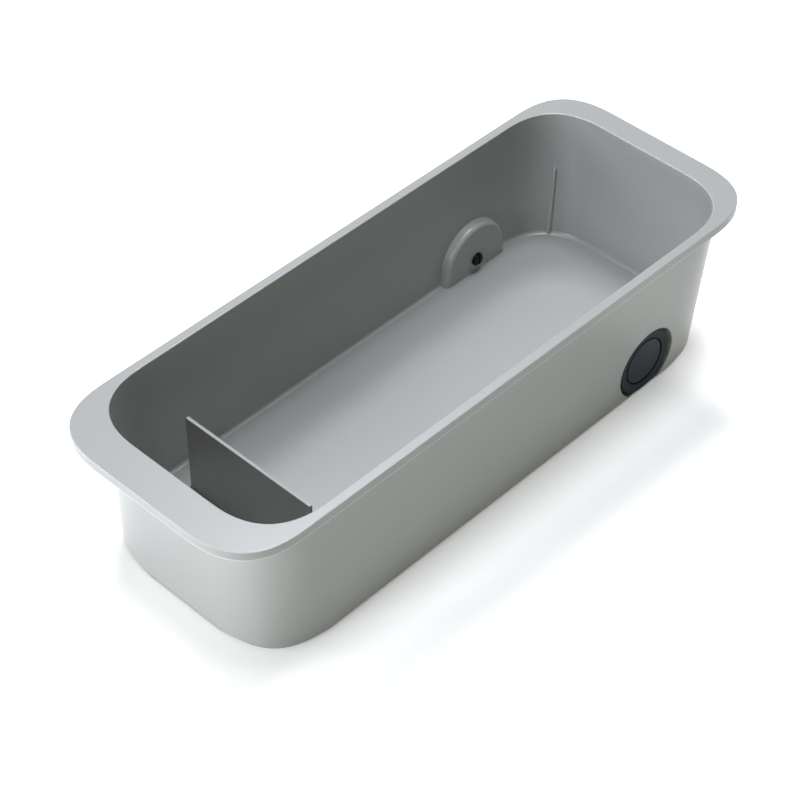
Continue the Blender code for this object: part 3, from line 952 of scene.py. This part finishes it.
# %% Piece: divider
divider_bottom, divider_corner, divider_edge = slot_floor + fit_gap, 0.0012, 0.0004
outline = [(-divider_half, divider_bottom), (divider_half, divider_bottom)]
for side, bends in ((1, quarter(6)), (-1, quarter(6)[::-1])):
    outline += [(side * (divider_half - divider_corner * across),
                 divider_top - divider_corner * along) for across, along in bends]
faces_y = (divider_y - divider_thickness / 2, divider_y + divider_thickness / 2)
divider = closed_loft("divider_panel", [[(x, y, z) for x, z in outline] for y in faces_y])
soften(divider, divider_edge, 4, "ANGLE")
divider.data.materials.append(divider_finish)
finish(divider, "divider_panel", "divider_plastic", "divider")

# %% [markdown]
# ## Wheels
# Each wheel is a hub with a bead, a soft tyre seated on it, and a snap-in pin whose
# round cap covers the hub, with a fine dark groove between the cap and the tyre. The
# pin's split, barbed end shows inside the tray, in the middle of the hump.

# %% Pieces: hub, tyre and axle pin
half_wheel = wheel_width / 2
cap_radius, cap_sink, cap_thickness, cap_edge = 0.01615, 0.0003, 0.0011, 0.0005
tyre_inner = wheel_radius - 0.0062
bead, bead_half, tyre_edge = 0.0010, 0.0006, 0.0009
hub_front = half_wheel - cap_sink - cap_thickness - fit_gap
bead_middle = (hub_front - half_wheel) / 2
pin_radius = 0.0040
pin_seat = -half_wheel - behind_wheel - well_wall - fit_gap
barb_radius, barb_tip, barb_seat, barb_length = 0.0047, 0.0032, 0.0008, 0.0024
barb_end = pin_seat - barb_length
small_edge, cap_back_edge, cap_rise = 0.0003, 0.0002, 0.00012
axle_x = wheel_face - half_wheel


def hub_profile():
    """The hub's half section, with the bead that holds the tyre."""
    outer, hole = tyre_inner - fit_gap, pin_radius + fit_gap
    crown = bead_half * 0.6
    points = edge_bend(outer, hub_front, small_edge, 1, 1, 3)
    points += [(outer, bead_middle + bead_half), (outer + bead, bead_middle + crown),
               (outer + bead, bead_middle - crown), (outer, bead_middle - bead_half)]
    points += edge_bend(outer, -half_wheel, small_edge, 1, -1, 3)[::-1]
    points += [(hole, -half_wheel), (hole, hub_front)]
    return points + points[:1]


def tyre_profile():
    """The tyre's half section, with the groove for the hub's bead."""
    reach = bead_half + fit_gap
    points = edge_bend(tyre_inner, half_wheel, small_edge, -1, 1, 4)
    points += edge_bend(wheel_radius, half_wheel, tyre_edge, 1, 1, 8)
    points += edge_bend(wheel_radius, -half_wheel, tyre_edge, 1, -1, 8)[::-1]
    points += edge_bend(tyre_inner, -half_wheel, small_edge, -1, -1, 4)[::-1]
    points += [(tyre_inner, bead_middle - reach), (tyre_inner + bead, bead_middle - reach),
               (tyre_inner + bead, bead_middle + reach), (tyre_inner, bead_middle + reach)]
    return points + points[:1]


def pin_profile():
    """The pin's half section: a faintly domed cap, the shaft and the barbed end."""
    face = half_wheel - cap_sink
    back = face - cap_thickness
    points = [(0.0, face)]
    points += [(cap_radius * share, face - cap_rise * share ** 2)
               for share in (0.3, 0.6, 0.8, 0.9)]
    points += edge_bend(cap_radius, face - cap_rise, cap_edge, 1, 1, 6)
    points += edge_bend(cap_radius, back, cap_back_edge, 1, -1, 3)[::-1]
    points += [(pin_radius, back), (pin_radius, pin_seat), (barb_radius, pin_seat),
               (barb_radius, pin_seat - barb_seat), (barb_tip + 0.0003, barb_end + 0.0002),
               (barb_tip, barb_end), (0.0, barb_end)]
    return points


def on_axle(side):
    """Turns a piece's Z axis outwards along the axle, and puts it in its place."""
    place = Matrix.Translation((side * axle_x, axle_y, wheel_radius))
    return place @ Matrix.Rotation(side * math.pi / 2, 4, "Y")


split_low = (-0.0060, -0.0006, barb_end - 0.0020)
split_high = (0.0060, 0.0006, barb_end + 0.0036)
for side, label in sides:
    body = label + "_wheel"
    hub = turned(label + "_hub", hub_profile(), hub_finish, 96)
    tyre = turned(label + "_tyre", tyre_profile(), tyre_finish, 160)
    pin = turned(label + "_pin", pin_profile(), pin_finish, 128)
    join(pin, rounded_box("split", split_low, split_high, 0.0002), "DIFFERENCE")
    for piece in (hub, tyre, pin):
        piece.data.transform(on_axle(side))
    finish(hub, body, "hub_plastic", label + "_wheel_hub")
    finish(tyre, body, "tyre_rubber", label + "_wheel_tyre")
    finish(pin, "tray_body", "pin_plastic", label + "_axle_pin")

# %% [markdown]
# ## Front feet
# Two soft discs grip the shelf, so that the tray rolls only when its front is lifted.
# A ring groove on the sole helps them bite.

# %% Pieces: front feet
pad_radius, sole_edge, stem_edge, groove_depth = 0.0080, 0.0006, 0.0004, 0.0003
for side, label in sides:
    profile = [(0.0, stem_top)]
    profile += edge_bend(stem_radius, stem_top, stem_edge, 1, 1, 4)
    profile += [(stem_radius, foot_height)]
    profile += edge_bend(pad_radius, foot_height, small_edge, 1, 1, 4)
    profile += edge_bend(pad_radius, 0.0, sole_edge, 1, -1, 6)[::-1]
    profile += [(0.0058, 0.0), (0.0055, groove_depth), (0.0048, groove_depth),
                (0.0045, 0.0), (0.0, 0.0)]
    foot = turned(label + "_foot", profile, foot_finish, 72)
    foot.data.transform(Matrix.Translation((side * foot_x, foot_y, 0.0)))
    finish(foot, "tray_body", "foot_rubber", label + "_front_foot")

# %% [markdown]
# ## Floor
# The photograph was taken on white paper in soft light. The floor here takes the shadow,
# and to the camera and in reflections it shows a little light of its own, so that it
# comes out white away from the tray. How much depends on the distance from the base's
# outline and from either end; just inside the outline it stops, so that the gap under
# the tray stays dark.

# %% Floor
floor_mesh = bpy.data.meshes.new("floor")
floor_reach = 12.0
corners = ((-1, -1), (1, -1), (1, 1), (-1, 1))
floor_mesh.from_pydata(
    [(floor_reach * x, floor_reach * y, 0.0) for x, y in corners], [], [(0, 1, 2, 3)])
floor = new_object("floor", floor_mesh)
# Glow levels of the floor: where they vary near the tray they are painted light that shapes how the
# shadow fades.
near_lift, middle_lift, outer_lift, base_corner = 0.35, 0.15, 0.50, 0.050
front_lift, rear_lift, lift_growth, far_lift = 0.38, 0.55, 0.16, 0.60
end_blend = 0.040
paper = bpy.data.materials.new("white_paper")
paper.use_nodes = True
sheet = NodeSheet(paper.node_tree)
shader = paper.node_tree.nodes["Principled BSDF"]


def seen_directly(sheet):
    """1 for a ray from the camera, or from a glossy or clear surface, else 0."""
    rays = sheet.node("ShaderNodeLightPath").outputs
    seen = sheet.math("MAXIMUM", rays["Is Camera Ray"], rays["Is Glossy Ray"])
    return sheet.math("MAXIMUM", seen, rays["Is Transmission Ray"])


def ramp(value, start, stop, low, high):
    """From low to high, softly, while the value goes from start to stop."""
    inputs = dict(enumerate((value, start, stop, low, high)))
    node = sheet.node("ShaderNodeMapRange", inputs, interpolation_type="SMOOTHSTEP")
    return node.outputs[0]


across, along, unused = sheet.parts(sheet.node("ShaderNodeTexCoord").outputs["Object"])
base_half_length = (base_sizes[2] - base_sizes[1]) / 2
squares = []
for value, half in ((across, base_half), (along, base_half_length)):
    beyond = sheet.minus(sheet.math("ABSOLUTE", value), half - base_corner)
    squares.append(sheet.math("POWER", sheet.math("MAXIMUM", beyond, 0.0), 2.0))
distance = sheet.minus(sheet.math("SQRT", sheet.math("ADD", *squares)), base_corner)
# Painted light: the glow is strong close to the base, weaker a few centimetres out and strong again
# farther off, so it shapes how the shadow beside the tray fades.
lift = sheet.math(
    "ADD", ramp(distance, 0.020, 0.060, near_lift, middle_lift),
    ramp(distance, 0.050, 0.100, 0.0, outer_lift - middle_lift))
for direction, end_lift, before in ((-1.0, front_lift, 0.005), (1.0, rear_lift, 0.025)):
    to_end = sheet.times(along, direction)
    full = base_half_length - before
    at_end = ramp(to_end, full - end_blend, full, 0.0, 1.0)
    grown = ramp(distance, 0.005, 0.030, end_lift, end_lift + lift_growth)
    lift = sheet.mix(at_end, lift, grown)
lift = sheet.times(lift, ramp(distance, -0.0025, -0.0002, 0.0, 1.0))
lift = sheet.math("ADD", lift, ramp(distance, 0.35, 1.0, 0.0, far_lift))
sheet.feed(shader, {
    "Base Color": (0.872, 0.88, 0.845, 1.0), "Roughness": 0.9, "Specular IOR Level": 0.0,
    "Emission Color": (1.0, 1.0, 1.0, 1.0),
    "Emission Strength": sheet.times(seen_directly(sheet), lift)})
floor_mesh.materials.append(paper)
print("floor ready; the base is", round(base_half_length * 2000, 1), "mm long")

# %% [markdown]
# ## Lamps and world
# All lamps are softboxes that look at the tray's middle. Most are a little cool; two low
# ones on the right are warm, as the side wall is warmer in the photograph than the faces
# that look up. The world is white to the camera and in reflections, and lights nothing.

# %% Lamps and world
tray_middle = Vector((0.0, 0.0, 0.05))
cool, warm = (0.95, 0.985, 1.05), (0.94, 1.0, 0.60)
for name, place, width, height, watts, colour in (
        ("sheen left", (-0.85, 0.9, 2.1), 0.7, 0.5, 23.0, cool),
        ("sheen right", (-0.1, 0.6, 2.3), 0.7, 0.5, 18.0, cool),
        ("top", (-0.1, 0.0, 2.4), 0.9, 0.9, 14.0, cool),
        ("front", (-0.2, -2.3, 0.85), 0.9, 0.7, 30.2, cool),
        ("front left high", (-1.35, -1.9, 0.75), 0.9, 0.7, 14.8, cool),
        ("front left low", (-1.45, -2.0, 0.11), 1.6, 0.16, 19.6, cool),
        ("right low", (1.7, -1.6, 0.2), 1.6, 0.3, 4.5, warm),
        ("rear right low", (1.7, 1.9, 0.2), 1.6, 0.3, 1.9, warm)):
    lamp = bpy.data.lights.new(name, "AREA")
    lamp.shape = "RECTANGLE"
    lamp.size, lamp.size_y, lamp.energy, lamp.color = width, height, watts, colour
    aim = (tray_middle - Vector(place)).to_track_quat("-Z", "Y").to_matrix().to_4x4()
    new_object(name, lamp).matrix_world = Matrix.Translation(place) @ aim

world = bpy.data.worlds.new("studio")
bpy.context.scene.world = world
world.use_nodes = True
backdrop = world.node_tree.nodes["Background"]
sheet = NodeSheet(world.node_tree)
sheet.feed(backdrop, {"Strength": seen_directly(sheet), "Color": (1.0, 1.0, 1.0, 1.0)})
bpy.context.scene.view_settings.view_transform = "Standard"
lamps = [thing.data for thing in bpy.context.scene.objects if thing.type == "LIGHT"]
print(len(lamps), "lamps,", round(sum(lamp.energy for lamp in lamps), 1), "watts")
